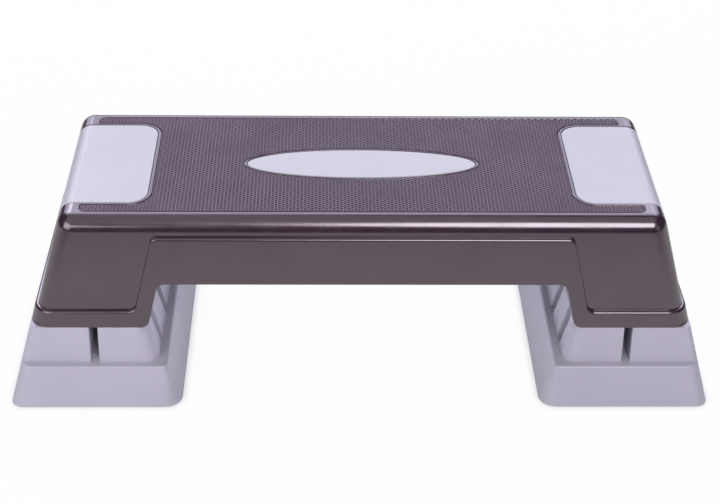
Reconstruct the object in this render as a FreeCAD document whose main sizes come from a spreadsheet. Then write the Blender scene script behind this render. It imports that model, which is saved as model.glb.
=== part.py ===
import FreeCAD, Part
import functools
import os

# Aerobic step: a moulded deck with an inlaid tread, standing on two hollow risers.
# Millimetres. X runs along the step, -Y is the front, Z is up, the floor is at zero.

SIZES = {
    # deck outline: the plain body, and the skirt that stands proud of it
    "deck_bottom": 82.5,
    "deck_height": 117.5,
    "body_half_length_top": 290.0,
    "end_batter": 33.6,
    "body_half_depth_top": 105.0,
    "side_batter": 10.0,
    "skirt_proud_end": 2.9,
    "skirt_proud_side": 4.0,
    "deck_corner_radius": 15.5,
    "roll_radius": 15.0,
    "skirt_edge_radius": 2.6,
    "deck_wall": 3.5,
    "top_plate": 3.5,
    "overrun": 20.0,
    "touch_gap": 0.3,
    # skirt: a band along the leg bottoms, an apron between the legs
    "band_height": 17.8,
    "apron_drop": 18.4,
    "apron_margin": 3.8,
    "apron_spread": 24.4,
    "apron_corner_radius": 6.0,
    "panel_corner_radius": 9.0,
    # arch between the legs
    "arch_half_top": 198.8,
    "arch_spread": 11.6,
    "arch_rise": 49.1,
    "arch_corner_radius": 9.0,
    "leg_corner_radius": 9.5,
    # ribs under the deck
    "rib": 2.6,
    "mid_rib_rise": 28.0,
    "rib_headroom": 14.0,
    "mid_rib_pitch": 62.0,
    "mid_rib_offset": 42.0,
    "leg_rib_offset": 56.0,
    # tread mat
    "tread_end_flat": 3.0,
    "tread_corner_radius": 6.0,
    "tread_recess": 2.5,
    "tread_thickness": 2.35,
    # grip pits in the mat, on every fifth column and row of its fine pattern
    "pit_pitch": 17.5,
    "pit_half_width": 1.0,
    "pit_half_length": 1.2,
    "pit_taper": 0.3,
    "pit_depth": 1.15,
    # end pads
    "pad_reach": 63.0,
    "pad_side_margin": 16.0,
    "pad_corner_radius": 18.5,
    "pad_foot_radius": 14.0,
    "pad_thickness": 2.5,
    "pad_drop": 34.0,
    "pad_edge_radius": 0.8,
    "rim_width": 3.5,
    "rim_edge_radius": 1.3,
    # badge
    "badge_half_length": 114.5,
    "badge_half_depth": 26.0,
    "badge_centre": -1.0,
    "badge_thickness": 2.3,
    "badge_recess": 2.5,
    "badge_edge_radius": 0.8,
    "inlay_clearance": 0.4,
    # risers
    "base_spread_end": 23.5,
    "base_spread_side": 23.3,
    "base_batter_side": 9.8,
    "base_batter_inner": 13.2,
    "ledge_level": 44.0,
    "ledge_width_inner": 7.4,
    "base_outer_corner": 13.0,
    "base_inner_corner": 18.0,
    "ledge_inner_corner": 6.0,
    "ledge_edge_radius": 2.5,
    "block_batter_inner": 10.0,
    "block_batter_side": 6.0,
    "block_outer_corner": 6.0,
    "block_inner_corner": 14.0,
    "block_root": 6.0,
    "riser_wall": 3.0,
    "spigot_rise": 30.0,
    "spigot_root": 4.0,
    "spigot_clearance": 1.0,
    # slots moulded into each riser
    "notch_width": 8.0,
    "notch_depth": 48.0,
    "groove_width": 15.0,
    "groove_depth": 13.0,
    "groove_margin": 31.0,
    "groove_pitch": 50.0,
    "slot_end_radius": 1.8,
    "lug_edge_radius": 1.4,
    "riser_web": 2.4,
    # rubber feet under the risers
    "foot_stand": 0.9,
    "foot_radius": 10.0,
    "foot_height": 4.0,
    "foot_edge_radius": 1.2,
    "foot_stem_radius": 4.0,
    "foot_stem_length": 9.0,
    "foot_post_radius": 11.5,
    "foot_inset_outer": 23.0,
    "foot_inset_inner": 26.0,
    "foot_inset_depth": 23.0,
    "stem_clearance": 0.1,
    # rubber buttons in the deck's leg rims
    "button_radius": 4.0,
    "button_height": 1.2,
    "button_edge_radius": 0.5,
    "button_stem_radius": 2.2,
    "button_stem_length": 9.0,
    "button_inset": 9.5,
    "button_post_radius": 5.2,
    "button_post_height": 16.0,
    "button_clearance": 0.5,
}

# Places and radii that keep their proportion to another size.
SHARES = {
    "notch_share": 0.4635,
    "leg_rib_share": 0.386,
    "spigot_corner_share": 4.9,
}

# Sizes that follow from others.
DERIVED = {
    "deck_top": "deck_bottom + deck_height",
    "body_half_length_low": "body_half_length_top + end_batter",
    "body_half_depth_low": "body_half_depth_top + side_batter",
    "skirt_half_length_low": "body_half_length_low + skirt_proud_end",
    "skirt_half_length_top": "body_half_length_top + skirt_proud_end",
    "skirt_half_depth_low": "body_half_depth_low + skirt_proud_side",
    "skirt_half_depth_top": "body_half_depth_top + skirt_proud_side",
    "skirt_corner_radius": "deck_corner_radius + skirt_proud_side",
    "band_level": "deck_bottom + band_height",
    "apron_level": "deck_top - apron_drop",
    "apron_half_top": "arch_half_top + apron_margin",
    "apron_half_low": "apron_half_top + apron_spread",
    "arch_half_low": "arch_half_top + arch_spread",
    "arch_level": "deck_bottom + arch_rise",
    "leg_length": "skirt_half_length_low - arch_half_low",
    "plate_under": "deck_top - tread_recess - top_plate",
    "rib_top": "deck_top - tread_recess",
    "mid_rib_level": "arch_level + mid_rib_rise",
    "leg_rib_level": "deck_bottom + spigot_rise + rib_headroom",
    "leg_rib_position": "arch_half_low + leg_length * leg_rib_share",
    "tread_half_length": "body_half_length_top - roll_radius - tread_end_flat",
    "tread_half_depth": "body_half_depth_top - roll_radius",
    "pad_inner": "tread_half_length - pad_reach",
    "pad_half_depth": "tread_half_depth - pad_side_margin",
    "rim_reach": "rim_width + inlay_clearance",
    "mat_reach": "rim_reach + inlay_clearance",
    "mat_top": "rib_top + tread_thickness",
    "mat_half_length": "tread_half_length - inlay_clearance",
    "mat_half_depth": "tread_half_depth - inlay_clearance",
    "mat_corner_radius": "tread_corner_radius - inlay_clearance",
    "badge_floor": "deck_top - badge_recess",
    "base_outer": "skirt_half_length_low + base_spread_end",
    "base_half_depth": "skirt_half_depth_low + base_spread_side",
    "ledge_half_depth": "base_half_depth - base_batter_side",
    "block_inner_low": "arch_half_low - block_batter_inner",
    "ledge_inner": "block_inner_low - ledge_width_inner",
    "base_inner": "ledge_inner - base_batter_inner",
    "block_half_depth_low": "skirt_half_depth_low + block_batter_side",
    "spigot_corner_radius": "button_post_radius * spigot_corner_share",
    "spigot_foot": "deck_bottom - spigot_root",
    "spigot_top": "deck_bottom + spigot_rise",
    "notch_position": "arch_half_low + leg_length * notch_share",
    "groove_far": "skirt_half_depth_low - groove_margin",
    "groove_near": "groove_far - groove_pitch",
    "web_offset": "( groove_near + groove_far ) / 2",
}

LEFT = -1
RIGHT = 1
FRONT = -1
BACK = 1
SIDE_NAMES = {LEFT: "left", RIGHT: "right"}
FACE_NAMES = {FRONT: "front", BACK: "back"}
CROSS_RIBS = (-2, -1, 0, 1, 2)
NOTHING = "0"
UPRIGHT = FreeCAD.Rotation(FreeCAD.Vector(1, 0, 0), 90)
NAMES = set(SIZES) | set(SHARES) | set(DERIVED)
touch = 0.001
steep_share = 0.8
straight_share = 0.9
corner_length_share = 1.2

doc = FreeCAD.newDocument("step")
sheet = doc.addObject("Spreadsheet::Sheet", "Sizes")
cells = [(alias, str(size)) for alias, size in (SIZES | SHARES).items()]
cells += [(alias, "=" + text) for alias, text in DERIVED.items()]
for row, (alias, content) in enumerate(cells, start=1):
    sheet.set("A%d" % row, alias)
    sheet.setAlias("B%d" % row, alias)
    sheet.set("B%d" % row, content)
doc.recompute()


def s(text):
    """Turn the size names in a sum into references to the sheet."""
    words = text.replace("(", " ( ").replace(")", " ) ").split()
    return " ".join("Sizes." + word if word in NAMES else word for word in words)


@functools.lru_cache(maxsize=None)
def value(text):
    """Work out a sum of size names as a number."""
    total = doc.addObject("App::FeaturePython", "sum")
    total.addProperty("App::PropertyFloat", "Result")
    total.setExpression("Result", s(text))
    total.recompute()
    result = float(total.Result)
    doc.removeObject(total.Name)
    return result


def bind(piece, sizes):
    """Tie each named property of a piece to a sum of sizes."""
    for name, text in sizes.items():
        piece.setExpression(name, s(text))


def span(side, low, high):
    """Give the smaller and the larger X of a stretch on one side."""
    if side == RIGHT:
        return low, high
    return "- ( %s )" % high, "- ( %s )" % low


def frustum(name, bottom, top, x_low, x_top, y_low, y_top):
    """Block with sloped sides between two levels."""
    piece = doc.addObject("Part::Wedge", name)
    bind(piece, {
        "Ymin": bottom,
        "Ymax": top,
        "Xmin": x_low[0],
        "Xmax": x_low[1],
        "X2min": x_top[0],
        "X2max": x_top[1],
        "Zmin": "- ( %s )" % y_low[1],
        "Zmax": "- ( %s )" % y_low[0],
        "Z2min": "- ( %s )" % y_top[1],
        "Z2max": "- ( %s )" % y_top[0],
    })
    piece.Placement = FreeCAD.Placement(FreeCAD.Vector(), UPRIGHT)
    doc.recompute()
    return piece


def box(name, x, y, z):
    """Straight block between three pairs of limits."""
    return frustum(name, z[0], z[1], x, x, y, y)


def both(text):
    """Limits at equal distance on both sides of the middle."""
    return "- ( %s )" % text, text


def around(centre, half):
    """Limits at equal distance on both sides of a centre."""
    return "%s - ( %s )" % (centre, half), "%s + %s" % (centre, half)


def rows_at(offset):
    """Three rows along X: one in the middle and one on each side of it."""
    return ("front", "- " + offset), ("mid", NOTHING), ("back", offset)


def cylinder(name, radius, bottom, height, x, y):
    """Upright cylinder."""
    piece = doc.addObject("Part::Cylinder", name)
    bind(piece, {
        "Radius": radius,
        "Height": height,
        "Placement.Base.x": x,
        "Placement.Base.y": y,
        "Placement.Base.z": bottom,
    })
    doc.recompute()
    return piece


def ellipse_plate(name, half_length, half_depth, bottom, height):
    """Upright elliptical plate on the badge's centre."""
    outline = doc.addObject("Part::Ellipse", name + "_outline")
    bind(outline, {
        "MajorRadius": half_length,
        "MinorRadius": half_depth,
        "Placement.Base.y": "badge_centre",
        "Placement.Base.z": bottom,
    })
    piece = doc.addObject("Part::Extrusion", name)
    piece.Base = outline
    piece.Dir = FreeCAD.Vector(0, 0, 1)
    piece.DirMode = "Custom"
    piece.Solid = True
    bind(piece, {"LengthFwd": height})
    doc.recompute()
    return piece


def cut(name, base, tool):
    """Take one piece away from another."""
    piece = doc.addObject("Part::Cut", name)
    piece.Base = base
    piece.Tool = tool
    doc.recompute()
    return piece


def common(name, base, tool):
    """Keep what two pieces share."""
    piece = doc.addObject("Part::Common", name)
    piece.Base = base
    piece.Tool = tool
    doc.recompute()
    return piece


def fuse(name, pieces):
    """Join several pieces into one."""
    piece = doc.addObject("Part::MultiFuse", name)
    piece.Shapes = pieces
    piece.Refine = True
    doc.recompute()
    return piece


def fillet(name, base, *rounds):
    """Round the edges that each test picks, by one radius or by one at the foot and one at the top."""
    chosen = []
    for *radii, test in rounds:
        foot, top = value(radii[0]), value(radii[-1])
        for index, edge in enumerate(base.Shape.Edges, start=1):
            if test(edge):
                climbs = edge.Vertexes[0].Z < edge.Vertexes[-1].Z
                chosen.append((index, top, foot) if climbs else (index, foot, top))
    piece = doc.addObject("Part::Fillet", name)
    piece.Base = base
    piece.Edges = chosen
    doc.recompute()
    return piece


def middle_of(edge):
    """Point halfway along an edge."""
    return edge.valueAt((edge.FirstParameter + edge.LastParameter) / 2)


def rise(edge):
    """Height between an edge's two ends."""
    ends = edge.Vertexes
    return abs(ends[0].Z - ends[-1].Z)


def upright(edge):
    """Edge that climbs from one level to another."""
    return rise(edge) > edge.Length * steep_share


def at_level(level):
    """Edges that lie at one level."""
    height = value(level)
    return lambda edge: all(abs(v.Z - height) < touch for v in edge.Vertexes)


def along_y(edge):
    """Straight edge that runs from front to back."""
    ends = edge.Vertexes
    return abs(ends[0].Y - ends[-1].Y) > edge.Length * straight_share


def beyond(side, limit):
    """Edges on the outer side of a limit along X."""
    edge_limit = value(limit)
    return lambda edge: edge.CenterOfMass.x * side > edge_limit


def all_of(*tests):
    """Edges that pass every test."""
    return lambda edge: all(test(edge) for test in tests)


def none_of(*tests):
    """Edges that pass no test."""
    return lambda edge: not any(test(edge) for test in tests)


def deck_form(name, inset, corner, roll):
    """The deck's plain body, or the same body drawn in by an inset."""
    raw = frustum(
        name + "_raw",
        "deck_bottom - overrun",
        "deck_top - %s" % inset,
        both(sloped_out("body_half_length_low", "body_half_length_top", inset)),
        both("body_half_length_top - %s" % inset),
        both(sloped_out("body_half_depth_low", "body_half_depth_top", inset)),
        both("body_half_depth_top - %s" % inset),
    )
    top = at_level("deck_top - %s" % inset)
    return fillet(name, raw, (corner, upright), (roll, top))


def sloped_out(low, top, inset):
    """Half size of a sloped side one overrun below the deck's bottom."""
    slope = "( %s - %s ) / ( deck_top - deck_bottom )" % (low, top)
    return "%s - %s + overrun * %s" % (low, inset, slope)


def build_deck_outer():
    """Rolled body with the proud skirt round its legs and across the arch."""
    body = deck_form("deck_body", NOTHING, "deck_corner_radius", "roll_radius")
    proud_raw = frustum(
        "skirt_block_raw",
        "deck_bottom",
        "deck_top",
        both("skirt_half_length_low"),
        both("skirt_half_length_top"),
        both("skirt_half_depth_low"),
        both("skirt_half_depth_top"),
    )
    proud = fillet("skirt_block", proud_raw, ("skirt_corner_radius", upright))
    deep = both("skirt_half_depth_low + overrun")
    apron = frustum(
        "apron",
        "deck_bottom",
        "apron_level",
        both("apron_half_low"),
        both("apron_half_top"),
        deep,
        deep,
    )
    band = box("band", both("skirt_half_length_low + overrun"), deep, ("deck_bottom", "band_level"))
    outline = fuse("skirt_outline", [apron, band])
    inside = beyond_both("apron_half_low + overrun")
    shaped = fillet(
        "skirt_shape",
        outline,
        ("apron_corner_radius", all_of(along_y, at_level("apron_level"))),
        ("panel_corner_radius", all_of(along_y, at_level("band_level"), none_of(inside))),
    )
    skirt = common("skirt_sharp", proud, shaped)
    edge_low = at_level("deck_bottom")
    face_edges = all_of(none_of(edge_low), on_skirt_face)
    skirt_round = fillet("skirt", skirt, ("skirt_edge_radius", face_edges))
    trimmed = cut("deck_body_trimmed", body, box(
        "below_deck",
        both("base_outer + overrun"),
        both("base_half_depth + overrun"),
        ("deck_bottom - overrun - overrun", "deck_bottom"),
    ))
    return fuse("deck_outer", [trimmed, skirt_round]), body


def beyond_both(limit):
    """Edges outside a limit on either side."""
    edge_limit = value(limit)
    return lambda edge: abs(edge.CenterOfMass.x) > edge_limit


def on_skirt_face(edge):
    """Edge of the skirt's proud outer face, the upright corners left out."""
    if upright(edge) and edge.Length < value("band_height") * corner_length_share:
        return False
    middle = middle_of(edge)
    rise_share = (middle.z - value("deck_bottom")) / value("deck_top - deck_bottom")
    low = FreeCAD.Vector(value("skirt_half_length_low"), value("skirt_half_depth_low"), 0)
    high = FreeCAD.Vector(value("skirt_half_length_top"), value("skirt_half_depth_top"), 0)
    limit = low + (high - low) * rise_share
    corner = value("skirt_corner_radius")
    on_front = abs(abs(middle.y) - limit.y) < touch
    on_end = abs(abs(middle.x) - limit.x) < touch
    in_corner = abs(middle.x) > limit.x - corner and abs(middle.y) > limit.y - corner
    return on_front or on_end or in_corner


def on_line(low, top, low_level, top_level, level):
    """Size at one level on a straight line between two levels."""
    slope = "( %s - ( %s ) ) / ( %s - ( %s ) )" % (top, low, top_level, low_level)
    return "%s + ( %s - ( %s ) ) * %s" % (low, level, low_level, slope)


def hollow_half_length(level):
    """Half length of the space inside the deck at one level."""
    low = "body_half_length_low - deck_wall"
    top = "body_half_length_top - deck_wall - pad_thickness"
    return on_line(low, top, "deck_bottom", "plate_under", level)


def hollow_half_depth(level):
    """Half depth of the space inside the deck at one level."""
    low = "body_half_depth_low - deck_wall"
    top = "body_half_depth_top - deck_wall"
    return on_line(low, top, "deck_bottom", "plate_under", level)


def build_deck_inside():
    """Hollow below the top plate, less the leg walls, ribs and button posts."""
    below = "deck_bottom - overrun"
    hollow = frustum(
        "deck_hollow",
        below,
        "plate_under",
        both(hollow_half_length(below)),
        both(hollow_half_length("plate_under")),
        both(hollow_half_depth(below)),
        both(hollow_half_depth("plate_under")),
    )
    soft = fillet("deck_hollow_soft", hollow, ("deck_corner_radius - deck_wall", upright))
    deep = both("skirt_half_depth_low + overrun")
    kept = []
    for side in (LEFT, RIGHT):
        name = SIDE_NAMES[side]
        wall_low = arch_half(below)
        wall_top = arch_half("rib_top")
        kept.append(frustum(
            "leg_wall_" + name,
            below,
            "rib_top",
            span(side, wall_low, "%s + deck_wall" % wall_low),
            span(side, wall_top, "%s + deck_wall" % wall_top),
            deep,
            deep,
        ))
        for place, offset in rows_at("leg_rib_offset"):
            thick = ("%s - rib / 2" % offset, "%s + rib / 2" % offset)
            kept.append(frustum(
                "leg_rib_%s_%s" % (name, place),
                "leg_rib_level",
                "rib_top",
                span(side, arch_half("leg_rib_level"), "skirt_half_length_low"),
                span(side, wall_top, "skirt_half_length_low"),
                thick,
                thick,
            ))
        kept.append(box(
            "leg_keel_" + name,
            span(side, "leg_rib_position - rib / 2", "leg_rib_position + rib / 2"),
            deep,
            ("leg_rib_level", "rib_top"),
        ))
        for x, y, label in button_places(side):
            kept.append(cylinder(
                "button_post_" + label,
                "button_post_radius",
                below,
                "overrun + button_post_height",
                x,
                y,
            ))
    for place, offset in rows_at("mid_rib_offset"):
        thick = ("%s - rib / 2" % offset, "%s + rib / 2" % offset)
        kept.append(frustum(
            "mid_rib_" + place,
            "mid_rib_level",
            "rib_top",
            both("%s + deck_wall / 2" % arch_half("mid_rib_level")),
            both("%s + deck_wall / 2" % arch_half("rib_top")),
            thick,
            thick,
        ))
    for number, step in enumerate(CROSS_RIBS):
        at = "%d * mid_rib_pitch" % step
        kept.append(box(
            "mid_cross_rib_%d" % number,
            ("%s - rib / 2" % at, "%s + rib / 2" % at),
            deep,
            ("mid_rib_level", "rib_top"),
        ))
    return cut("deck_space", soft, fuse("deck_kept", kept))


def arch_half(level):
    """Half width of the arch at one level, on the slope of its sides."""
    slope = "( arch_half_low - arch_half_top ) / ( arch_level - deck_bottom )"
    return "arch_half_low - ( %s - deck_bottom ) * %s" % (level, slope)


def button_places(side):
    """Centres of the four buttons in one leg's rim, with their names."""
    places = []
    for face in (FRONT, BACK):
        y = "%d * ( skirt_half_depth_low - button_inset )" % face
        outer = "%d * ( skirt_half_length_low - button_inset )" % side
        inner = "%d * ( arch_half_low + button_inset )" % side
        label = "%s_%s" % (SIDE_NAMES[side], FACE_NAMES[face])
        places.append((outer, y, label + "_outer"))
        places.append((inner, y, label + "_inner"))
    return places


def foot_places(side):
    """Centres of the four feet under one riser, with their names."""
    places = []
    for face in (FRONT, BACK):
        y = "%d * ( base_half_depth - foot_inset_depth )" % face
        outer = "%d * ( base_outer - foot_inset_outer )" % side
        inner = "%d * ( base_inner + foot_inset_inner )" % side
        label = "%s_%s" % (SIDE_NAMES[side], FACE_NAMES[face])
        places.append((outer, y, label + "_outer"))
        places.append((inner, y, label + "_inner"))
    return places


def pad_outline(name, side, extra):
    """Upright block with the end pad's outline, widened by an extra."""
    block = box(
        name + "_raw",
        span(side, "pad_inner - ( %s )" % extra, "base_outer"),
        both("pad_half_depth + %s" % extra),
        ("deck_top - pad_drop - ( %s )" % extra, "deck_top + overrun"),
    )
    inner = beyond(side, "pad_inner + pad_corner_radius")
    low = at_level("deck_top - pad_drop - ( %s )" % extra)
    return fillet(
        name,
        block,
        ("pad_corner_radius + %s" % extra, all_of(upright, none_of(inner))),
        ("pad_foot_radius + %s" % extra, all_of(low, lambda edge: not along_y(edge))),
    )


def rim_edge(edge):
    """Edge at the deck's top where a recess or an inlay ends, the seam of the roll left out."""
    if not all(abs(v.Z - value("deck_top")) < touch for v in edge.Vertexes):
        return False
    middle = middle_of(edge)
    in_length = abs(middle.x) < value("tread_half_length") + touch
    return in_length and abs(middle.y) < value("tread_half_depth") + touch


def pit_fits(x, y):
    """Whether a pit at a place is clear of the mat's edge, the pads and the badge."""
    room_x = value("pit_half_width + inlay_clearance")
    room_y = value("pit_half_length + inlay_clearance")
    corner = value("mat_corner_radius")
    past_x = max(abs(x) + room_x - value("mat_half_length") + corner, 0)
    past_y = max(abs(y) + room_y - value("mat_half_depth") + corner, 0)
    in_field = past_x ** 2 + past_y ** 2 < corner ** 2
    in_pad_length = abs(x) + room_x > value("pad_inner - mat_reach")
    in_pad_depth = abs(y) - room_y < value("pad_half_depth + mat_reach")
    across = x / (value("badge_half_length + mat_reach") + room_x)
    along = (y - value("badge_centre")) / (value("badge_half_depth + mat_reach") + room_y)
    by_badge = across ** 2 + along ** 2 < 1
    return in_field and not by_badge and not (in_pad_length and in_pad_depth)


def build_pits():
    """Staggered pits in the mat's top, each narrower at its floor."""
    pitch = value("pit_pitch")
    columns = int(value("mat_half_length") // pitch)
    rows = int(value("mat_half_depth") // pitch) + 1
    pits = []
    for column in range(-columns, columns + 1):
        stagger = column % 2 / 2
        for row in range(-rows, rows + 1):
            if not pit_fits(column * pitch, (row + stagger) * pitch):
                continue
            x = "%d * pit_pitch" % column
            y = "%s * pit_pitch" % (row + stagger)
            pits.append(frustum(
                "pit_%d" % len(pits),
                "mat_top - pit_depth",
                "mat_top + pit_depth",
                around(x, "pit_half_width - pit_taper"),
                around(x, "pit_half_width + pit_taper"),
                around(y, "pit_half_length - pit_taper"),
                around(y, "pit_half_length + pit_taper"),
            ))
    return pits


def build_deck():
    """Deck shell with its recesses, and the pieces inlaid in it."""
    outer, body = build_deck_outer()
    deep = both("skirt_half_depth_low + overrun")
    arch_raw = frustum(
        "arch_raw",
        "deck_bottom - overrun",
        "arch_level",
        both(arch_half("deck_bottom - overrun")),
        both("arch_half_top"),
        deep,
        deep,
    )
    arch = fillet("arch", arch_raw, ("arch_corner_radius", all_of(along_y, at_level("arch_level"))))
    space = build_deck_inside()
    arched = cut("deck_arched", outer, arch)
    outside_arch = beyond_both("arch_half_low + touch_gap")
    leg_inside = all_of(along_y, at_level("deck_bottom"), none_of(outside_arch))
    legs = fillet("deck_legs", arched, ("leg_corner_radius", leg_inside))
    shell = cut("deck_hollowed", legs, space)

    bed = deck_form(
        "pad_bed",
        "pad_thickness",
        "deck_corner_radius - pad_thickness",
        "roll_radius - pad_thickness",
    )
    pads = []
    taken = []
    rims = []
    for side in (LEFT, RIGHT):
        name = SIDE_NAMES[side]
        outline = pad_outline("pad_outline_" + name, side, NOTHING)
        skin = common("pad_skin_" + name, body, outline)
        sharp = cut("pad_sharp_" + name, skin, bed)
        pad = fillet("pad_" + name, sharp, ("pad_edge_radius", rim_edge))
        pad.Label = "end_pad_" + name
        pads.append(pad)
        gap = pad_outline("pad_gap_" + name, side, "inlay_clearance")
        taken.append(cut("pad_recess_" + name, gap, bed))
        rims.append(pad_outline("pad_rim_" + name, side, "rim_reach"))
    rims.append(ellipse_plate(
        "badge_rim",
        "badge_half_length + rim_reach",
        "badge_half_depth + rim_reach",
        "rib_top - overrun",
        "overrun + overrun",
    ))
    field_raw = box(
        "tread_field_raw",
        both("tread_half_length"),
        both("tread_half_depth"),
        ("rib_top", "deck_top + overrun"),
    )
    field = fillet("tread_field", field_raw, ("tread_corner_radius", upright))
    taken.append(cut("tread_recess", field, fuse("tread_rims", rims)))
    taken.append(ellipse_plate(
        "badge_recess",
        "badge_half_length + inlay_clearance",
        "badge_half_depth + inlay_clearance",
        "badge_floor",
        "overrun",
    ))
    for side in (LEFT, RIGHT):
        for x, y, label in button_places(side):
            taken.append(cylinder(
                "button_bore_" + label,
                "button_stem_radius + stem_clearance",
                "deck_bottom - overrun",
                "overrun + button_stem_length + button_edge_radius",
                x,
                y,
            ))
    sharp_deck = cut("deck_sharp", shell, fuse("deck_taken", taken))
    deck = fillet("deck_shell", sharp_deck, ("rim_edge_radius", rim_edge))
    deck.Label = "deck_shell"

    mat_rims = []
    for side in (LEFT, RIGHT):
        name = SIDE_NAMES[side]
        mat_rims.append(pad_outline("mat_gap_" + name, side, "mat_reach"))
    mat_rims.append(ellipse_plate(
        "mat_badge_gap",
        "badge_half_length + mat_reach",
        "badge_half_depth + mat_reach",
        "deck_top - overrun",
        "overrun + overrun",
    ))
    mat_raw = box(
        "mat_raw",
        both("mat_half_length"),
        both("mat_half_depth"),
        ("rib_top", "mat_top"),
    )
    mat_whole = fillet("mat_whole", mat_raw, ("mat_corner_radius", upright))
    mat_plain = cut("mat_plain", mat_whole, fuse("mat_rims", mat_rims))
    mat = cut("mat", mat_plain, fuse("pits", build_pits()))
    mat.Label = "tread_mat"

    plate = ellipse_plate(
        "badge_raw",
        "badge_half_length",
        "badge_half_depth",
        "badge_floor",
        "badge_thickness",
    )
    plate_top = at_level("badge_floor + badge_thickness")
    badge = fillet("badge", plate, ("badge_edge_radius", plate_top))
    badge.Label = "badge_plate"
    return [deck, mat, badge] + pads


def slots(side, grow, floor):
    """Front and back notches and inner-face grooves of one riser, or their walls."""
    name = "%s_%s" % (SIDE_NAMES[side], "wall" if "wall" in grow else "slot")
    roof = "spigot_top + overrun"
    cutters = []
    for face in (FRONT, BACK):
        near = "block_half_depth_low - notch_depth - %s" % grow
        far = "base_half_depth + overrun"
        y = (near, far) if face == BACK else ("- ( %s )" % far, "- ( %s )" % near)
        half_notch = "( notch_width / 2 + %s )" % grow
        notch = "notch_%s_%s" % (name, FACE_NAMES[face])
        notch_raw = box(
            notch + "_raw",
            span(side, "notch_position - %s" % half_notch, "notch_position + %s" % half_notch),
            y,
            (floor, roof),
        )
        cutters.append(fillet(notch, notch_raw, ("slot_end_radius", upright)))
    for place, centre in enumerate(("- groove_far", "- groove_near", "groove_near", "groove_far")):
        half_groove = "( groove_width / 2 + %s )" % grow
        groove = "groove_%s_%d" % (name, place)
        groove_raw = box(
            groove + "_raw",
            span(side, "base_inner - overrun", "block_inner_low + groove_depth + %s" % grow),
            ("%s - %s" % (centre, half_groove), "%s + %s" % (centre, half_groove)),
            (floor, roof),
        )
        cutters.append(fillet(groove, groove_raw, ("slot_end_radius", upright)))
    return fuse("slots_" + name, cutters)


def end_slope(level):
    """Outer end of a riser at one level, on the straight slope from rim to shoulder."""
    drop = "( base_outer - skirt_half_length_low ) / ( deck_bottom - foot_stand )"
    return "base_outer - ( %s - foot_stand ) * %s" % (level, drop)


def block_side(low, top, level):
    """Size of a riser block's sloped face at one level."""
    slope = "( %s - %s ) / ( deck_bottom - ledge_level )" % (top, low)
    return "%s + ( %s - ledge_level ) * %s" % (low, level, slope)


def riser_forms(side, wall, label):
    """Base, block and spigot of one riser, drawn in by a wall."""
    name = "%s_%s" % (label, SIDE_NAMES[side])
    hollow = "wall" in wall
    rim = "foot_stand - overrun" if hollow else "foot_stand"
    inner_slope = "( ledge_inner - base_inner ) / ( ledge_level - foot_stand )"
    depth_slope = "( base_half_depth - ledge_half_depth ) / ( ledge_level - foot_stand )"
    base_raw = frustum(
        "base_%s_raw" % name,
        rim,
        "ledge_level - %s" % wall,
        span(side, "base_inner + ( %s - foot_stand ) * %s + %s" % (rim, inner_slope, wall),
             "%s - %s" % (end_slope(rim), wall)),
        span(side, "ledge_inner + %s" % wall, "%s - %s" % (end_slope("ledge_level"), wall)),
        both("base_half_depth - ( %s - foot_stand ) * %s - %s" % (rim, depth_slope, wall)),
        both("ledge_half_depth - %s" % wall),
    )
    middle = beyond(side, "notch_position")
    rounds = [
        ("base_outer_corner - %s" % wall, all_of(upright, middle)),
        (
            "base_inner_corner - %s" % wall,
            "ledge_inner_corner - %s" % wall,
            all_of(upright, none_of(middle)),
        ),
    ]
    if not hollow:
        rounds.append(("ledge_edge_radius", at_level("ledge_level")))
    base = fillet("base_" + name, base_raw, *rounds)

    root = "ledge_level - block_root"
    block_inner = block_side("block_inner_low", "arch_half_low", root)
    block_depth = block_side("block_half_depth_low", "skirt_half_depth_low", root)
    block_raw = frustum(
        "block_%s_raw" % name,
        "%s - %s" % (root, wall),
        "deck_bottom - %s" % wall,
        span(side, "%s + %s" % (block_inner, wall), "%s - %s" % (end_slope(root), wall)),
        span(side, "arch_half_low + %s" % wall, "skirt_half_length_low - %s" % wall),
        both("%s - %s" % (block_depth, wall)),
        both("skirt_half_depth_low - %s" % wall),
    )
    block = fillet(
        "block_" + name,
        block_raw,
        ("block_outer_corner - %s" % wall, all_of(upright, middle)),
        ("block_inner_corner - %s" % wall, all_of(upright, none_of(middle))),
    )

    inner = "arch_half_low + deck_wall + spigot_clearance + %s" % wall
    outer = "%s - spigot_clearance - " + wall
    spigot_raw = frustum(
        "spigot_%s_raw" % name,
        "spigot_foot - %s" % wall,
        "spigot_top - %s" % wall,
        span(side, inner, outer % hollow_half_length("spigot_foot")),
        span(side, inner, outer % hollow_half_length("spigot_top")),
        both(outer % hollow_half_depth("spigot_foot")),
        both(outer % hollow_half_depth("spigot_top")),
    )
    spigot = fillet("spigot_" + name, spigot_raw, ("spigot_corner_radius - %s" % wall, upright))
    return base, block, spigot


def lug_edges(side):
    """Upright edges where the notches and grooves meet the block's faces."""
    inner_limit = value("arch_half_low")
    front_limit = value("skirt_half_depth_low")

    def test(edge):
        if rise(edge) < value("deck_bottom - ledge_level") / 2:
            return False
        if edge.Curve.TypeId != "Part::GeomLine":
            return False
        middle = edge.CenterOfMass
        by_notch = abs(abs(middle.x) - value("notch_position")) < value("notch_width")
        by_groove = abs(middle.x) < inner_limit and abs(middle.y) < value("groove_far + groove_width")
        return (by_notch and abs(middle.y) > front_limit) or by_groove
    return test


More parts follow.
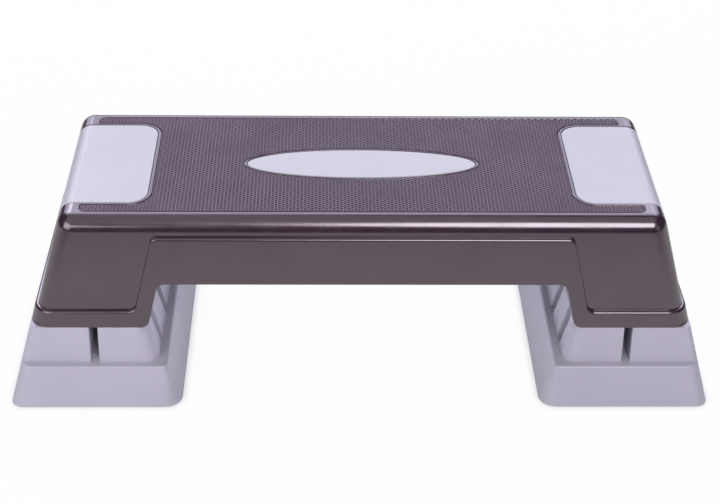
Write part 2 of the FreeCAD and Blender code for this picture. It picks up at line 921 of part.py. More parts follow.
def build_riser(side):
    """One hollow riser: sloped base, slotted block and the spigot that enters the deck."""
    name = SIDE_NAMES[side]
    base, block, spigot = riser_forms(side, NOTHING, "form")
    opened = slots(side, NOTHING, NOTHING)
    lugs_sharp = cut("lugs_sharp_" + name, block, opened)
    lugs = fillet("lugs_" + name, lugs_sharp, ("lug_edge_radius", lug_edges(side)))
    plug = cut("plug_" + name, spigot, opened)
    outer = fuse("riser_outer_" + name, [base, lugs, plug])

    hollow = fuse("riser_hollow_" + name, list(riser_forms(side, "riser_wall", "space")))
    kept = [slots(side, "riser_wall", "ledge_level - riser_wall")]
    roof = "spigot_top"
    for place, offset in rows_at("web_offset"):
        kept.append(box(
            "web_%s_%s" % (name, place),
            span(side, "base_inner", "base_outer"),
            ("%s - riser_web / 2" % offset, "%s + riser_web / 2" % offset),
            ("ledge_level / 2", roof),
        ))
    kept.append(box(
        "keel_" + name,
        span(side, "notch_position - riser_web / 2", "notch_position + riser_web / 2"),
        both("base_half_depth"),
        ("ledge_level / 2", roof),
    ))
    taken = []
    for x, y, label in foot_places(side):
        kept.append(cylinder("post_" + label, "foot_post_radius", "foot_height", "ledge_level", x, y))
        taken.append(cylinder(
            "foot_bore_" + label,
            "foot_stem_radius + stem_clearance",
            "foot_stand",
            "foot_height - foot_stand + foot_stem_length + foot_edge_radius",
            x,
            y,
        ))
    for x, y, label in button_places(side):
        taken.append(cylinder(
            "dimple_" + label,
            "button_radius + button_clearance",
            "deck_bottom - button_height - button_clearance",
            "overrun",
            x,
            y,
        ))
    space = cut("riser_space_" + name, hollow, fuse("riser_kept_" + name, kept))
    opened_out = cut("riser_open_" + name, outer, space)
    riser = cut("riser_" + name, opened_out, fuse("riser_taken_" + name, taken))
    riser.Label = "riser_" + name
    return riser


def plug_foot(label, x, y, level, radius, height, edge, stem_radius, stem_length):
    """Rubber disc with a stem that is pushed into its bore."""
    disc_raw = cylinder(label + "_disc", radius, "%s - %s" % (level, height), height, x, y)
    disc = fillet(label + "_soft", disc_raw, (edge, at_level("%s - %s" % (level, height))))
    stem_foot = "%s - %s / 2" % (level, height)
    stem_height = "%s / 2 + %s" % (height, stem_length)
    stem = cylinder(label + "_stem", stem_radius, stem_foot, stem_height, x, y)
    foot = fuse(label, [disc, stem])
    foot.Label = label
    return foot


def main():
    """Build every piece, test it and write it out."""
    pieces = build_deck()
    for side in (LEFT, RIGHT):
        pieces.append(build_riser(side))
        for x, y, label in foot_places(side):
            pieces.append(plug_foot(
                "riser_foot_" + label, x, y, "foot_height", "foot_radius", "foot_height",
                "foot_edge_radius", "foot_stem_radius", "foot_stem_length"))
        for x, y, label in button_places(side):
            pieces.append(plug_foot(
                "deck_foot_" + label, x, y, "deck_bottom", "button_radius", "button_height",
                "button_edge_radius", "button_stem_radius", "button_stem_length"))
    doc.recompute()
    for item in doc.Objects:
        if "Invalid" in item.State or "Error" in item.State:
            raise RuntimeError("%s is not sound: %s" % (item.Name, item.State))
    os.makedirs("parts", exist_ok=True)
    for piece in pieces:
        shape = piece.Shape
        if shape.isNull() or not shape.isValid() or len(shape.Solids) != 1:
            raise RuntimeError("%s is not one sound solid (%d)" % (piece.Label, len(shape.Solids)))
        shape.exportStep("parts/%s.step" % piece.Label)
        print(piece.Label, round(shape.Volume))


main()
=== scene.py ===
"""Looks of an aerobic step platform: a pitted tread, moulded finishes and a plain white studio."""

import logging
import math
from dataclasses import dataclass
from enum import Enum

import bmesh
import bpy
from mathutils import Matrix, Vector


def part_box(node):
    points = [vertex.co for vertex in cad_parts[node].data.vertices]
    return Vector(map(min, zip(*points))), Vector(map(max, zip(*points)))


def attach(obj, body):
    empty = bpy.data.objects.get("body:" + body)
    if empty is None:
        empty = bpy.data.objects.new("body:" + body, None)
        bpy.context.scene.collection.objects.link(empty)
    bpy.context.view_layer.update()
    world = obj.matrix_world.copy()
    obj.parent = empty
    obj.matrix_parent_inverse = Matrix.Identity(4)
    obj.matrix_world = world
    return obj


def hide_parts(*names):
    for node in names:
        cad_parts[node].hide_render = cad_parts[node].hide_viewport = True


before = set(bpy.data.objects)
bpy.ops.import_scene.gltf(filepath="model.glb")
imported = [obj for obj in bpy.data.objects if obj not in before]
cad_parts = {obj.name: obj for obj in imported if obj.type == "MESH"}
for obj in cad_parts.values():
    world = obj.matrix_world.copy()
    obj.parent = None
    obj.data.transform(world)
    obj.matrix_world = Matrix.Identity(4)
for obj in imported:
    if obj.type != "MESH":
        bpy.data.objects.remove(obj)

LOG = logging.getLogger("step")
MM = 0.001

Point = tuple[float, float, float]

# Numbers of the colour sockets of a Mix node: both inputs and the result.
MIX_FIRST, MIX_SECOND, MIX_RESULT = 6, 7, 2
# Noise values between which a surface turns from one tone to the other.
CLOUD_EDGES = (0.35, 0.7)
# Noise values between which a surface turns from clean to rubbed.
PATCH_EDGES = (0.4, 0.7)
# Size of the rubbed patches as a share of the clouds' size.
PATCH_SHARE = 0.4
# Height of a unit normal above which a face looks up.
LOOKS_UP = 0.9
# Corners of one tread cell: four each at its foot, its top, the pit's mouth and the pit's floor.
CELL_CORNERS = 16


class Slot(Enum):
    """Finish slots of the part, by the name each one has in the record."""

    DECK = "deck"
    TREAD = "tread"
    PAD = "pad"
    BADGE = "badge"
    RISER = "riser"
    FOOT = "foot"


class Side(Enum):
    """Ends of the platform along X."""

    LEFT = "left"
    RIGHT = "right"


class Softbox(Enum):
    """Outlines of a lamp's face."""

    SQUARE = "RECTANGLE"
    ROUND = "ELLIPSE"


def linear(code: str) -> tuple[float, float, float, float]:
    """Turn a written colour into the values a shader works with, by the sRGB curve.

    Args:
        code: Colour as six hexadecimal digits of sRGB.

    Returns:
        Linear red, green, blue and an alpha of one.
    """
    shares = [int(code[i : i + 2], 16) / 255 for i in (0, 2, 4)]
    values = [c / 12.92 if c <= 0.04045 else ((c + 0.055) / 1.055) ** 2.4 for c in shares]
    return (values[0], values[1], values[2], 1.0)


def add_node(
    tree: bpy.types.NodeTree,
    kind: str,
    inputs: dict[str | int, object] | None = None,
    **settings: object,
) -> bpy.types.Node:
    """Add one shader node.

    Args:
        tree: Node tree that gets the node.
        kind: Blender's type name of the node.
        inputs: Socket values, or sockets to link from, by socket name or number.
        settings: Properties of the node itself.

    Returns:
        The new node.
    """
    node = tree.nodes.new(kind)
    for name, setting in settings.items():
        setattr(node, name, setting)
    for name, given in (inputs or {}).items():
        if isinstance(given, bpy.types.NodeSocket):
            tree.links.new(given, node.inputs[name])
        else:
            node.inputs[name].default_value = given
    return node


def per_mm(size: float) -> float:
    """Scale of a pattern whose features are a given size.

    Args:
        size: Size of one feature in millimetres.

    Returns:
        Features per metre of object space.
    """
    return 1.0 / (size * MM)


@dataclass(frozen=True, kw_only=True)
class Finish:
    """A moulded surface: colour that drifts a little, a grain that scatters light, rubbed patches.

    Attributes:
        name: Real material and how it was made.
        colour: Written colour of the clean surface.
        drift_colour: Written colour the surface drifts to in broad clouds.
        roughness: Roughness of the clean surface.
        rubbed: Added roughness where hands and shoes have rubbed it.
        cloud: Size of the broad clouds in mm.
        grain: Size of the tool's grain in mm, drawn coarse enough to show.
        grain_depth: Depth of the grain in mm.
        specular: Strength of the reflection at right angles.
        ior: Index of refraction of the skin.
        tint: Written colour of the reflection at right angles.
    """

    name: str
    colour: str
    drift_colour: str
    roughness: float
    rubbed: float
    cloud: float
    grain: float
    grain_depth: float
    specular: float = 0.5
    ior: float = 1.5
    tint: str = "FFFFFF"

    def make(self) -> bpy.types.Material:
        """Build the material.

        Returns:
            The material, ready for a slot.
        """
        material = bpy.data.materials.new(self.name)
        material.use_nodes = True
        tree = material.node_tree
        tree.nodes.clear()
        place = add_node(tree, "ShaderNodeTexCoord").outputs["Object"]
        shader = add_node(
            tree,
            "ShaderNodeBsdfPrincipled",
            {
                "Base Color": self.coloured(tree, place),
                "Roughness": self.roughened(tree, place),
                "Normal": self.grained(tree, place),
                "Specular IOR Level": self.specular,
                "IOR": self.ior,
                "Specular Tint": linear(self.tint),
            },
        )
        add_node(tree, "ShaderNodeOutputMaterial", {"Surface": shader.outputs["BSDF"]})
        return material

    def coloured(
        self, tree: bpy.types.NodeTree, place: bpy.types.NodeSocket
    ) -> bpy.types.NodeSocket:
        """Colour that drifts between two close tones in broad clouds.

        Args:
            tree: The material's node tree.
            place: Object coordinates.

        Returns:
            The colour socket.
        """
        cloud = add_node(
            tree,
            "ShaderNodeTexNoise",
            {"Vector": place, "Scale": per_mm(self.cloud), "Detail": 3.0},
        )
        ramp = add_node(tree, "ShaderNodeValToRGB", {"Fac": cloud.outputs["Fac"]})
        tones = (self.colour, self.drift_colour)
        for stop, edge, tone in zip(ramp.color_ramp.elements, CLOUD_EDGES, tones):
            stop.position = edge
            stop.color = linear(tone)
        return ramp.outputs["Color"]

    def roughened(
        self, tree: bpy.types.NodeTree, place: bpy.types.NodeSocket
    ) -> bpy.types.NodeSocket:
        """Roughness with rubbed patches.

        Args:
            tree: The material's node tree.
            place: Object coordinates.

        Returns:
            The roughness socket.
        """
        patches = add_node(
            tree,
            "ShaderNodeTexNoise",
            {
                "Vector": place,
                "Scale": per_mm(self.cloud * PATCH_SHARE),
                "Detail": 5.0,
                "Roughness": 0.6,
            },
        )
        spread = add_node(
            tree,
            "ShaderNodeMapRange",
            {
                "Value": patches.outputs["Fac"],
                "From Min": PATCH_EDGES[0],
                "From Max": PATCH_EDGES[1],
                "To Min": self.roughness,
                "To Max": self.roughness + self.rubbed,
            },
        )
        return spread.outputs["Result"]

    def grained(
        self, tree: bpy.types.NodeTree, place: bpy.types.NodeSocket
    ) -> bpy.types.NodeSocket:
        """Fine grain left by the mould's surface.

        Args:
            tree: The material's node tree.
            place: Object coordinates.

        Returns:
            The normal socket.
        """
        grain = add_node(
            tree,
            "ShaderNodeTexNoise",
            {"Vector": place, "Scale": per_mm(self.grain), "Detail": 2.0},
        )
        bump = add_node(
            tree,
            "ShaderNodeBump",
            {
                "Height": grain.outputs["Fac"],
                "Distance": self.grain_depth * MM,
                "Strength": 1.0,
            },
        )
        return bump.outputs["Normal"]


@dataclass(frozen=True, kw_only=True)
class PitShadePaintedFinish(Finish):
    """Moulded rubber in its own tone on top, with painted shade that darkens it down into the pits.

    Attributes:
        pit_shade_colour: Written colour of the painted shade deep in the pits.
        pit_level: Height of the pit floors in metres.
        top_level: Height of the tread in metres.
    """

    pit_shade_colour: str
    pit_level: float
    top_level: float

    def coloured(
        self, tree: bpy.types.NodeTree, place: bpy.types.NodeSocket
    ) -> bpy.types.NodeSocket:
        """Colour by height: painted shade dark in the pits, the rubber's own tone on top.

        Args:
            tree: The material's node tree.
            place: Object coordinates.

        Returns:
            The colour socket.
        """
        top = super().coloured(tree, place)
        height = add_node(tree, "ShaderNodeSeparateXYZ", {"Vector": place}).outputs["Z"]
        # Painted shade: the colour darkens from the tread's top down to a dark tone at the pit
        # floors.
        share = add_node(
            tree,
            "ShaderNodeMapRange",
            {"Value": height, "From Min": self.pit_level, "From Max": self.top_level},
            interpolation_type="SMOOTHSTEP",
        )
        mixed = add_node(
            tree,
            "ShaderNodeMix",
            {
                "Factor": share.outputs["Result"],
                MIX_FIRST: linear(self.pit_shade_colour),
                MIX_SECOND: top,
            },
            data_type="RGBA",
        )
        return mixed.outputs[MIX_RESULT]


# ABS moulded in a polished tool: a dark plum gloss with a long, soft-edged highlight on the rolls.
DECK_ABS = Finish(
    name="abs_injection_moulded_polished_plum",
    colour="2B1625",
    drift_colour="301A29",
    roughness=0.2,
    rubbed=0.06,
    cloud=90.0,
    grain=1.6,
    grain_depth=0.004,
    specular=0.96,
    ior=1.7,
    tint="FFF7FC",
)
# Polypropylene moulded in a spark-eroded tool: pale lavender, satin, a broad sheen on rolled ends.
PAD_PP = Finish(
    name="polypropylene_injection_moulded_satin_lavender",
    colour="C9C8D0",
    drift_colour="C6C5CD",
    roughness=0.36,
    rubbed=0.08,
    cloud=70.0,
    grain=1.2,
    grain_depth=0.006,
)
# Polypropylene moulded in a smooth tool: the pale oval stays even and bright.
BADGE_PP = Finish(
    name="polypropylene_injection_moulded_smooth_lavender",
    colour="CDCCD2",
    drift_colour="CAC9CF",
    roughness=0.32,
    rubbed=0.06,
    cloud=60.0,
    grain=1.2,
    grain_depth=0.004,
)
# Polypropylene moulded in a fine-grained tool: greyer lavender, satin, soft-edged reflections.
RISER_PP = Finish(
    name="polypropylene_injection_moulded_grained_grey_lavender",
    colour="B4B0BE",
    drift_colour="AFABB9",
    roughness=0.3,
    rubbed=0.08,
    cloud=80.0,
    grain=1.4,
    grain_depth=0.008,
    specular=0.6,
)
# Thermoplastic rubber moulded in small plugs: dark, dull, with no clear reflection.
FOOT_TPR = Finish(
    name="thermoplastic_rubber_moulded_charcoal",
    colour="2C292D",
    drift_colour="343035",
    roughness=0.7,
    rubbed=0.15,
    cloud=12.0,
    grain=0.8,
    grain_depth=0.02,
)


def deselect() -> None:
    """Leave nothing selected before a modelling step."""
    bpy.ops.object.select_all(action="DESELECT")


def apply_modifier(piece: bpy.types.Object, kind: str, **settings: object) -> None:
    """Add a modifier and apply it at once.

    Args:
        piece: Object that gets the modifier.
        kind: Blender's type name of the modifier.
        settings: Properties of the modifier.
    """
    modifier = piece.modifiers.new(kind.lower(), kind)
    for name, setting in settings.items():
        setattr(modifier, name, setting)
    bpy.context.view_layer.objects.active = piece
    bpy.ops.object.modifier_apply(modifier=modifier.name)


def dress(piece: bpy.types.Object, material: bpy.types.Material) -> None:
    """Give a piece its finish.

    Args:
        piece: Piece or node to dress.
        material: Finish it gets.
    """
    piece.data.materials.clear()
    piece.data.materials.append(material)


@dataclass(frozen=True)
class TreadSheet:
    """Anti-slip sheet of the deck: a flat tread with small pits in staggered columns.

    Attributes:
        pitch: Distance between neighbouring columns, and between pits of one column, in mm.
        pit_half_width: Half the width of a pit's mouth, along X, in mm.
        pit_half_length: Half the length of a pit's mouth, along Y, in mm.
        pit_taper: Amount by which each half size shrinks down to the pit's floor in mm.
        pit_depth: Depth of a pit in mm.
        rim: Width of the deck's rim round pads and badge, with the gap beside it, in mm.
        pad_corner: Corner radius of a pad's rim in mm.
        overlap: Distance by which a kept cell's middle may lie under a rim in mm.
        shortest: Length below which an edge counts as nothing in mm.
        badge_steps: Steps in which a place is moved out to the badge's rim.
    """

    pitch: float = 3.5
    pit_half_width: float = 1.4
    pit_half_length: float = 0.92
    pit_taper: float = 0.3
    pit_depth: float = 1.15
    rim: float = 4.3
    pad_corner: float = 22.8
    overlap: float = 1.0
    shortest: float = 0.01
    badge_steps: int = 3

    def build(self) -> bpy.types.Object:
        """Model one pitted cell, repeat it over the tread and trim the field to the rims.

        Returns:
            The sheet as one piece.
        """
        low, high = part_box("tread_mat")
        columns = int(high.x / MM // self.pitch)
        rows = int(high.y / MM // self.pitch) + 1
        fields: list[bpy.types.Object] = []
        for shift in (0, 1):
            start_x = (-columns + (columns + shift) % 2) * self.pitch * MM
            start_y = (-rows + 0.5 * shift) * self.pitch * MM
            field = self.cell(Vector((start_x, start_y, high.z)), high.z - low.z)
            self.repeat(field, (2 * self.pitch * MM, 0.0, 0.0), columns + 1)
            self.repeat(field, (0.0, self.pitch * MM, 0.0), 2 * rows + 1)
            fields.append(field)
        deselect()
        for field in fields:
            field.select_set(True)
        bpy.context.view_layer.objects.active = fields[0]
        bpy.ops.object.join()
        sheet = bpy.context.view_layer.objects.active
        sheet.name = "tread_sheet"
        self.clear_rims(sheet)
        return sheet

    def repeat(self, field: bpy.types.Object, step: Point, count: int) -> None:
        """Repeat a field at a constant step.

        Args:
            field: Cell or row of cells.
            step: Offset of each copy in metres.
            count: Number of copies, the first one included.
        """
        apply_modifier(
            field,
            "ARRAY",
            use_relative_offset=False,
            use_constant_offset=True,
            constant_offset_displace=step,
            count=count,
        )

    def cell(self, centre: Vector, thickness: float) -> bpy.types.Object:
        """Model one cell: a square of tread with a tapered pit and its own side walls.

        Args:
            centre: Middle of the cell's top in metres.
            thickness: Thickness of the sheet in metres.

        Returns:
            The cell, with its place in its mesh.
        """
        deselect()
        bpy.ops.mesh.primitive_plane_add(size=self.pitch * MM, location=centre)
        cell = bpy.context.active_object
        bpy.ops.object.mode_set(mode="EDIT")
        self.select_edge_loop(cell)
        down = {"value": (0.0, 0.0, -thickness)}
        bpy.ops.mesh.extrude_region_move(TRANSFORM_OT_translate=down)
        self.select_top(cell)
        bpy.ops.mesh.inset(thickness=(self.pitch / 2 - self.pit_half_width) * MM)
        shape = (1.0, self.pit_half_length / self.pit_half_width, 1.0)
        bpy.ops.transform.resize(value=shape, center_override=centre)
        sunk = {"value": (0.0, 0.0, -self.pit_depth * MM)}
        bpy.ops.mesh.extrude_region_move(TRANSFORM_OT_translate=sunk)
        narrower = 1.0 - self.pit_taper / self.pit_half_width
        shorter = 1.0 - self.pit_taper / self.pit_half_length
        bpy.ops.transform.resize(value=(narrower, shorter, 1.0), center_override=centre)
        bpy.ops.object.mode_set(mode="OBJECT")
        bpy.ops.object.transform_apply(location=True, rotation=True, scale=True)
        return cell

    def select_edge_loop(self, piece: bpy.types.Object) -> None:
        """Select, in edit mode, the edges at the border of a piece.

        Args:
            piece: Piece in edit mode.
        """
        bpy.ops.mesh.select_all(action="DESELECT")
        bpy.ops.mesh.select_mode(type="EDGE")
        mesh = bmesh.from_edit_mesh(piece.data)
        for edge in mesh.edges:
            edge.select_set(edge.is_boundary)
        bmesh.update_edit_mesh(piece.data)

    def select_top(self, piece: bpy.types.Object) -> None:
        """Select, in edit mode, the faces that look up.

        Args:
            piece: Piece in edit mode.
        """
        bpy.ops.mesh.select_mode(type="FACE")
        bpy.ops.mesh.select_all(action="DESELECT")
        mesh = bmesh.from_edit_mesh(piece.data)
        for face in mesh.faces:
            face.select_set(face.normal.z > LOOKS_UP)
        bmesh.update_edit_mesh(piece.data)

    def clear_rims(self, sheet: bpy.types.Object) -> None:
        """Trim the cells along the edge of the tread and along the rims of the pads and the badge.

        Args:
            sheet: The full field of cells.
        """
        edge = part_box("tread_mat")[1] / MM
        pad = [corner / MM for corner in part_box("end_pad_right")]
        badge = [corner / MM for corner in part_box("badge_plate")]
        mesh = bmesh.new()
        mesh.from_mesh(sheet.data)
        mesh.verts.ensure_lookup_table()
        gone: list[bmesh.types.BMVert] = []
        for first in range(0, len(mesh.verts), CELL_CORNERS):
            group = [mesh.verts[i] for i in range(first, first + CELL_CORNERS)]
            middle = sum((v.co.xy for v in group), Vector((0.0, 0.0))) / CELL_CORNERS / MM
            if (self.in_field(middle, edge, pad, badge) - middle).length > self.overlap:
                gone.extend(group)
                continue
            for corner in group:
                corner.co.xy = self.in_field(corner.co.xy / MM, edge, pad, badge) * MM
        bmesh.ops.delete(mesh, geom=gone, context="VERTS")
        bmesh.ops.dissolve_degenerate(mesh, dist=self.shortest * MM, edges=mesh.edges)
        mesh.to_mesh(sheet.data)
        mesh.free()

    def in_field(
        self, place: Vector, edge: Vector, pad: list[Vector], badge: list[Vector]
    ) -> Vector:
        """Nearest place that is on the tread and clear of every rim.

        Args:
            place: Place along X and Y in mm.
            edge: High corner of the tread in mm.
            pad: Low and high corner of the right pad in mm.
            badge: Low and high corner of the badge in mm.

        Returns:
            The same place, or the nearest one at the edge or rim.
        """
        x = min(max(place.x, -edge.x), edge.x)
        y = min(max(place.y, -edge.y), edge.y)
        return self.off_badge(self.off_pad(Vector((x, y)), pad), badge)

    def off_pad(self, place: Vector, pad: list[Vector]) -> Vector:
        """Nearest place outside the rim round a pad.

        Args:
            place: Place along X and Y in mm.
            pad: Low and high corner of the right pad in mm.

        Returns:
            The same place, or the nearest one at the rim. A place deep under the pad goes far away.
        """
        x, y = abs(place.x), abs(place.y)
        core_x = max(x, pad[0].x - self.rim + self.pad_corner)
        core_y = min(y, pad[1].y + self.rim - self.pad_corner)
        away = math.hypot(core_x - x, y - core_y)
        if away >= self.pad_corner:
            return place
        if away < self.shortest:
            return Vector((0.0, place.y))
        grow = self.pad_corner / away
        x, y = core_x - (core_x - x) * grow, core_y + (y - core_y) * grow
        return Vector((math.copysign(x, place.x), math.copysign(y, place.y)))

    def off_badge(self, place: Vector, badge: list[Vector]) -> Vector:
        """Nearest place outside the rim round the badge.

        Args:
            place: Place along X and Y in mm.
            badge: Low and high corner of the badge in mm.

        Returns:
            The same place, or the nearest one at the rim. A place amid the badge goes far away.
        """
        middle = ((badge[0] + badge[1]) / 2).xy
        half = badge[1].xy - middle + Vector((self.rim, self.rim))
        offset = place - middle
        if offset.length < self.rim:
            return place + half
        for _ in range(self.badge_steps):
            lack = 1.0 - (offset.x / half.x) ** 2 - (offset.y / half.y) ** 2
            if lack <= 0.0:
                break
            slope = 2.0 * Vector((offset.x / half.x**2, offset.y / half.y**2))
            offset += slope * (lack / slope.length_squared)
        return middle + offset


@dataclass(frozen=True)
class Deck:
    """Upper moulding with its tread, pads and badge.

    Attributes:
        tread: Anti-slip sheet on top.
    """

    tread: TreadSheet

    def dress_nodes(self) -> None:
        """Give the deck's own solids their finishes."""
        dress(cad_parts["deck_shell"], DECK_ABS.make())
        pad = PAD_PP.make()
        for side in Side:
            dress(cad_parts[f"end_pad_{side.value}"], pad)
        dress(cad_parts["badge_plate"], BADGE_PP.make())
        LOG.info("deck shell, pads and badge dressed")

    def build_tread(self) -> None:
        """Lay the pitted sheet in place of the plain mat."""
        sheet = self.tread.build()
        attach(sheet, "deck")
        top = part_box("tread_mat")[1].z
        # Thermoplastic rubber moulded in one sheet: dull plum on top, darkened in the pits by
        # painted shade.
        rubber = PitShadePaintedFinish(
            name="thermoplastic_rubber_moulded_pitted_plum_painted_pit_shade",
            colour="625263",
            drift_colour="5E4E5F",
            roughness=0.45,
            rubbed=0.12,
            cloud=110.0,
            grain=1.0,
            grain_depth=0.01,
            # Dark tone of the painted shade at the pit floors.
            pit_shade_colour="362A33",
            pit_level=top - self.tread.pit_depth * MM,
            top_level=top,
        )
        dress(sheet, rubber.make())
        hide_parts("tread_mat")
        LOG.info("tread: %d triangles", sum(len(p.vertices) - 2 for p in sheet.data.polygons))


class Risers:
    """Pair of blocks under the ends of the deck."""

    def dress_nodes(self) -> None:
        """Give both risers their finish."""
        plastic = RISER_PP.make()
        for side in Side:
            dress(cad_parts[f"riser_{side.value}"], plastic)
        LOG.info("risers dressed")


class Feet:
    """Rubber plugs under the risers and under the deck's legs."""

    def dress_nodes(self) -> None:
        """Give every plug its finish."""
        rubber = FOOT_TPR.make()
        names = [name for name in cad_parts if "_foot_" in name]
        for name in names:
            dress(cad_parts[name], rubber)
        LOG.info("%d feet dressed", len(names))


@dataclass(frozen=True)
class Lamp:
    """A softbox that faces a point.

    Attributes:
        name: Name of the lamp.
        place: Place of its middle in metres.
        width: Width in metres.
        height: Height in metres.
        watts: Power.
        colour: Written colour of the light.
        aim: Point it faces in metres, by default on the deck's front edge.
        outline: Outline of its face.
    """

    name: str
    place: Point
    width: float
    height: float
    watts: float
    colour: str = "FFFFFF"
    aim: Point = (0.0, -0.1, 0.19)
    outline: Softbox = Softbox.SQUARE

    def build(self) -> None:
        """Put the lamp in the studio."""
        data = bpy.data.lights.new(self.name, "AREA")
        data.shape = self.outline.value
        data.size, data.size_y = self.width, self.height
        data.energy = self.watts
        data.color = linear(self.colour)[:3]
        lamp = bpy.data.objects.new(self.name, data)
        bpy.context.scene.collection.objects.link(lamp)
        lamp.location = self.place
        ahead = Vector(self.aim) - Vector(self.place)
        lamp.rotation_euler = ahead.to_track_quat("-Z", "Y").to_euler()
        lamp.visible_camera = False


LAMPS = (
    # The long highlight on the front roll, which fades out to the left.
    Lamp(
        "key_softbox",
        place=(0.58, -2.0, 1.7),
        width=1.3,
        height=1.4,
        watts=31.5,
        colour="FCF9FF",
        outline=Softbox.ROUND,
    ),
    # The short bright spot at the roll's left corner.
    Lamp("left_strip", place=(-0.78, -2.1, 0.98), width=0.3, height=0.3, watts=2.36),
    # Even light on the left riser, and less on the right one.
    Lamp("left_fill", place=(-1.15, -1.15, 0.7), width=1.0, height=1.0, watts=9.0),
    Lamp("right_fill", place=(1.9, -1.8, 0.5), width=0.8, height=0.8, watts=1.55),
    # Sheen on the tread, the pads and the rims, seen at a flat angle.
    Lamp(
        "back_panel", place=(0.0, 2.08, 1.6), width=4.2, height=3.0, watts=24.8, colour="EFECFF"
    ),
    Lamp("back_top", place=(0.0, 1.74, 2.03), width=3.4, height=1.0, watts=20.0, colour="E8E4FF"),
    Lamp("back_line", place=(0.0, 2.1, 0.95), width=3.4, height=0.9, watts=16.1, colour="E8E5FF"),
    Lamp(
        "back_left", place=(-1.15, 2.05, 1.66), width=0.76, height=0.5, watts=6.5, colour="F1EFFF"
    ),
    Lamp(
        "back_right", place=(1.1, 2.05, 1.66), width=0.62, height=0.5, watts=2.8, colour="F1EFFF"
    ),
    # Soft light from above on everything.
    Lamp(
        "ceiling",
        place=(-0.3, -0.6, 2.4),
        width=3.0,
        height=3.0,
        watts=14.5,
        aim=(0.0, -0.1, 0.0),
    ),
    # Light that white paper throws back up between the risers.
    Lamp(
        "table_glow",
        place=(0.0, -0.02, 0.002),
        width=0.3,
        height=0.22,
        watts=0.16,
        colour="DDD6FF",
        aim=(0.0, -0.02, 1.0),
    ),
)


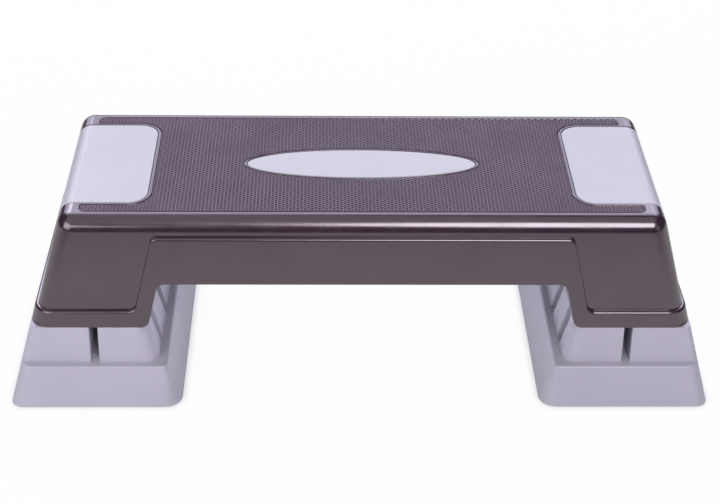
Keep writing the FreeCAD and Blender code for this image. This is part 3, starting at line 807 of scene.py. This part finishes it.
@dataclass(frozen=True)
class Studio:
    """Camera, soft lamps and a white floor.

    Attributes:
        camera_place: Place of the camera in mm.
        pitch: Angle by which it looks down in degrees.
        yaw: Angle by which it looks to the right in degrees.
        roll: Angle by which it is turned about its own axis in degrees.
        lens: Focal length in mm.
        sensor: Width of the sensor in mm.
        floor_half: Half the side of the floor in metres.
        floor_white: Share of the plain white in what the camera sees of the floor.
        contact_reach: Distance up to which a piece close by dims the floor in metres.
        contact_open: Openness of the floor at which it is dimmed most.
        contact_white: Share of the plain white right where a piece stands.
        paper_colour: Written colour of the paper.
        paper_middle: Place of the paper's middle along Y in metres.
        paper_inner: Distance from there up to which the paper is mirrored in full, in metres.
        paper_outer: Distance beyond which only the dim studio is mirrored, in metres.
        paper_squeeze: Factor on distances along X, so that the paper is wider than deep.
        paper_mirrored: Brightness of the paper in a mirror.
        studio_dim: Brightness of the dim studio in a mirror.
        world_colour: Written colour of the even light from all round.
        world_strength: Strength of the even light from all round.
    """

    camera_place: Point = (-39.69, -1311.0, 996.73)
    pitch: float = 34.63
    yaw: float = 1.74
    roll: float = 1.08
    lens: float = 76.15
    sensor: float = 36.0
    floor_half: float = 200.0
    floor_white: float = 0.96
    contact_reach: float = 0.008
    contact_open: float = 0.3
    contact_white: float = 0.1
    paper_colour: str = "F4F4F6"
    paper_middle: float = 0.3
    paper_inner: float = 0.82
    paper_outer: float = 1.03
    paper_squeeze: float = 0.5
    paper_mirrored: float = 0.755
    studio_dim: float = 0.03
    world_colour: str = "ECE8FF"
    world_strength: float = 0.085

    def build(self) -> None:
        """Set up everything round the object."""
        self.build_camera()
        self.build_floor()
        self.build_world()
        for lamp in LAMPS:
            lamp.build()
        bpy.context.scene.view_settings.view_transform = "Standard"
        LOG.info("studio ready")

    def build_camera(self) -> None:
        """Place the camera."""
        pitch, yaw, roll = (math.radians(a) for a in (self.pitch, self.yaw, self.roll))
        ahead = Vector(
            (math.sin(yaw) * math.cos(pitch), math.cos(yaw) * math.cos(pitch), -math.sin(pitch))
        )
        right = Vector((math.cos(yaw), -math.sin(yaw), 0.0))
        up = right.cross(ahead)
        turned_right = math.cos(roll) * right + math.sin(roll) * up
        turned_up = math.cos(roll) * up - math.sin(roll) * right
        data = bpy.data.cameras.new("camera")
        data.lens = self.lens
        data.sensor_width = self.sensor
        camera = bpy.data.objects.new("camera", data)
        bpy.context.scene.collection.objects.link(camera)
        turn = Matrix((turned_right, turned_up, -ahead)).transposed()
        camera.matrix_world = Matrix.Translation(Vector(self.camera_place) * MM) @ turn.to_4x4()
        bpy.context.scene.camera = camera

    def build_floor(self) -> None:
        """Lay the floor: paper that reads as white and keeps the object's shadow."""
        deselect()
        bpy.ops.mesh.primitive_plane_add(size=2 * self.floor_half, location=(0.0, 0.0, 0.0))
        floor = bpy.context.active_object
        floor.name = "floor"
        floor.data.materials.append(self.paper())

    def paper(self) -> bpy.types.Material:
        """Make the floor's paper, which is plain white to the camera and pale in a mirror.

        Returns:
            The paper's material.
        """
        # Matt paper roll: pale and even, with only a soft shadow under the object.
        paper = bpy.data.materials.new("paper_rolled_matt_white")
        paper.use_nodes = True
        tree = paper.node_tree
        tree.nodes.clear()
        lit = add_node(tree, "ShaderNodeBsdfDiffuse", {"Color": linear(self.paper_colour)})
        path = add_node(tree, "ShaderNodeLightPath")
        bright = add_node(
            tree,
            "ShaderNodeMath",
            {0: path.outputs["Is Camera Ray"], 1: self.paper_reach(tree)},
            operation="MAXIMUM",
        )
        white = add_node(
            tree,
            "ShaderNodeEmission",
            {"Color": linear("FFFFFF"), "Strength": bright.outputs["Value"]},
        )
        mixed = add_node(
            tree,
            "ShaderNodeMixShader",
            {
                "Fac": self.white_share(tree, path),
                1: lit.outputs["BSDF"],
                2: white.outputs["Emission"],
            },
        )
        add_node(tree, "ShaderNodeOutputMaterial", {"Surface": mixed.outputs["Shader"]})
        return paper

    def white_share(
        self, tree: bpy.types.NodeTree, path: bpy.types.Node
    ) -> bpy.types.NodeSocket:
        """Share of the plain white: none for light on the object, less where a piece stands.

        Args:
            tree: Node tree of the floor.
            path: Light Path node.

        Returns:
            The share socket.
        """
        mirrored = add_node(
            tree,
            "ShaderNodeMath",
            {0: path.outputs["Is Glossy Ray"], 1: path.outputs["Is Transmission Ray"]},
            operation="MAXIMUM",
        )
        seen = add_node(
            tree,
            "ShaderNodeMath",
            {0: path.outputs["Is Camera Ray"], 1: mirrored.outputs["Value"]},
            operation="MAXIMUM",
        )
        free = add_node(tree, "ShaderNodeAmbientOcclusion", {"Distance": self.contact_reach})
        plain = add_node(
            tree,
            "ShaderNodeMapRange",
            {
                "Value": free.outputs["AO"],
                "From Min": self.contact_open,
                "To Min": self.contact_white,
                "To Max": self.floor_white,
            },
        )
        share = add_node(
            tree,
            "ShaderNodeMath",
            {0: seen.outputs["Value"], 1: plain.outputs["Result"]},
            operation="MULTIPLY",
        )
        return share.outputs["Value"]

    def paper_reach(self, tree: bpy.types.NodeTree) -> bpy.types.NodeSocket:
        """Brightness of the floor in a mirror: paper round the object, a dim studio beyond it.

        Args:
            tree: Node tree of the floor.

        Returns:
            The brightness socket.
        """
        place = add_node(tree, "ShaderNodeTexCoord").outputs["Object"]
        squeezed = add_node(
            tree,
            "ShaderNodeVectorMath",
            {0: place, 1: (self.paper_squeeze, 1.0, 1.0)},
            operation="MULTIPLY",
        )
        away = add_node(
            tree,
            "ShaderNodeVectorMath",
            {0: squeezed.outputs["Vector"], 1: (0.0, self.paper_middle, 0.0)},
            operation="DISTANCE",
        )
        edge = add_node(
            tree,
            "ShaderNodeMapRange",
            {
                "Value": away.outputs["Value"],
                "From Min": self.paper_inner,
                "From Max": self.paper_outer,
                "To Min": self.paper_mirrored,
                "To Max": self.studio_dim,
            },
            interpolation_type="SMOOTHSTEP",
        )
        return edge.outputs["Result"]

    def build_world(self) -> None:
        """Give the studio an even light from all round."""
        world = bpy.data.worlds.new("studio")
        world.use_nodes = True
        bpy.context.scene.world = world
        background = world.node_tree.nodes["Background"]
        background.inputs["Color"].default_value = linear(self.world_colour)
        background.inputs["Strength"].default_value = self.world_strength


def main() -> None:
    """Build the looks, piece by piece."""
    logging.basicConfig(level=logging.INFO, format="%(name)s: %(message)s")
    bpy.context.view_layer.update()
    deck = Deck(TreadSheet())
    deck.dress_nodes()
    deck.build_tread()
    Risers().dress_nodes()
    Feet().dress_nodes()
    Studio().build()


if __name__ == "__main__":
    main()
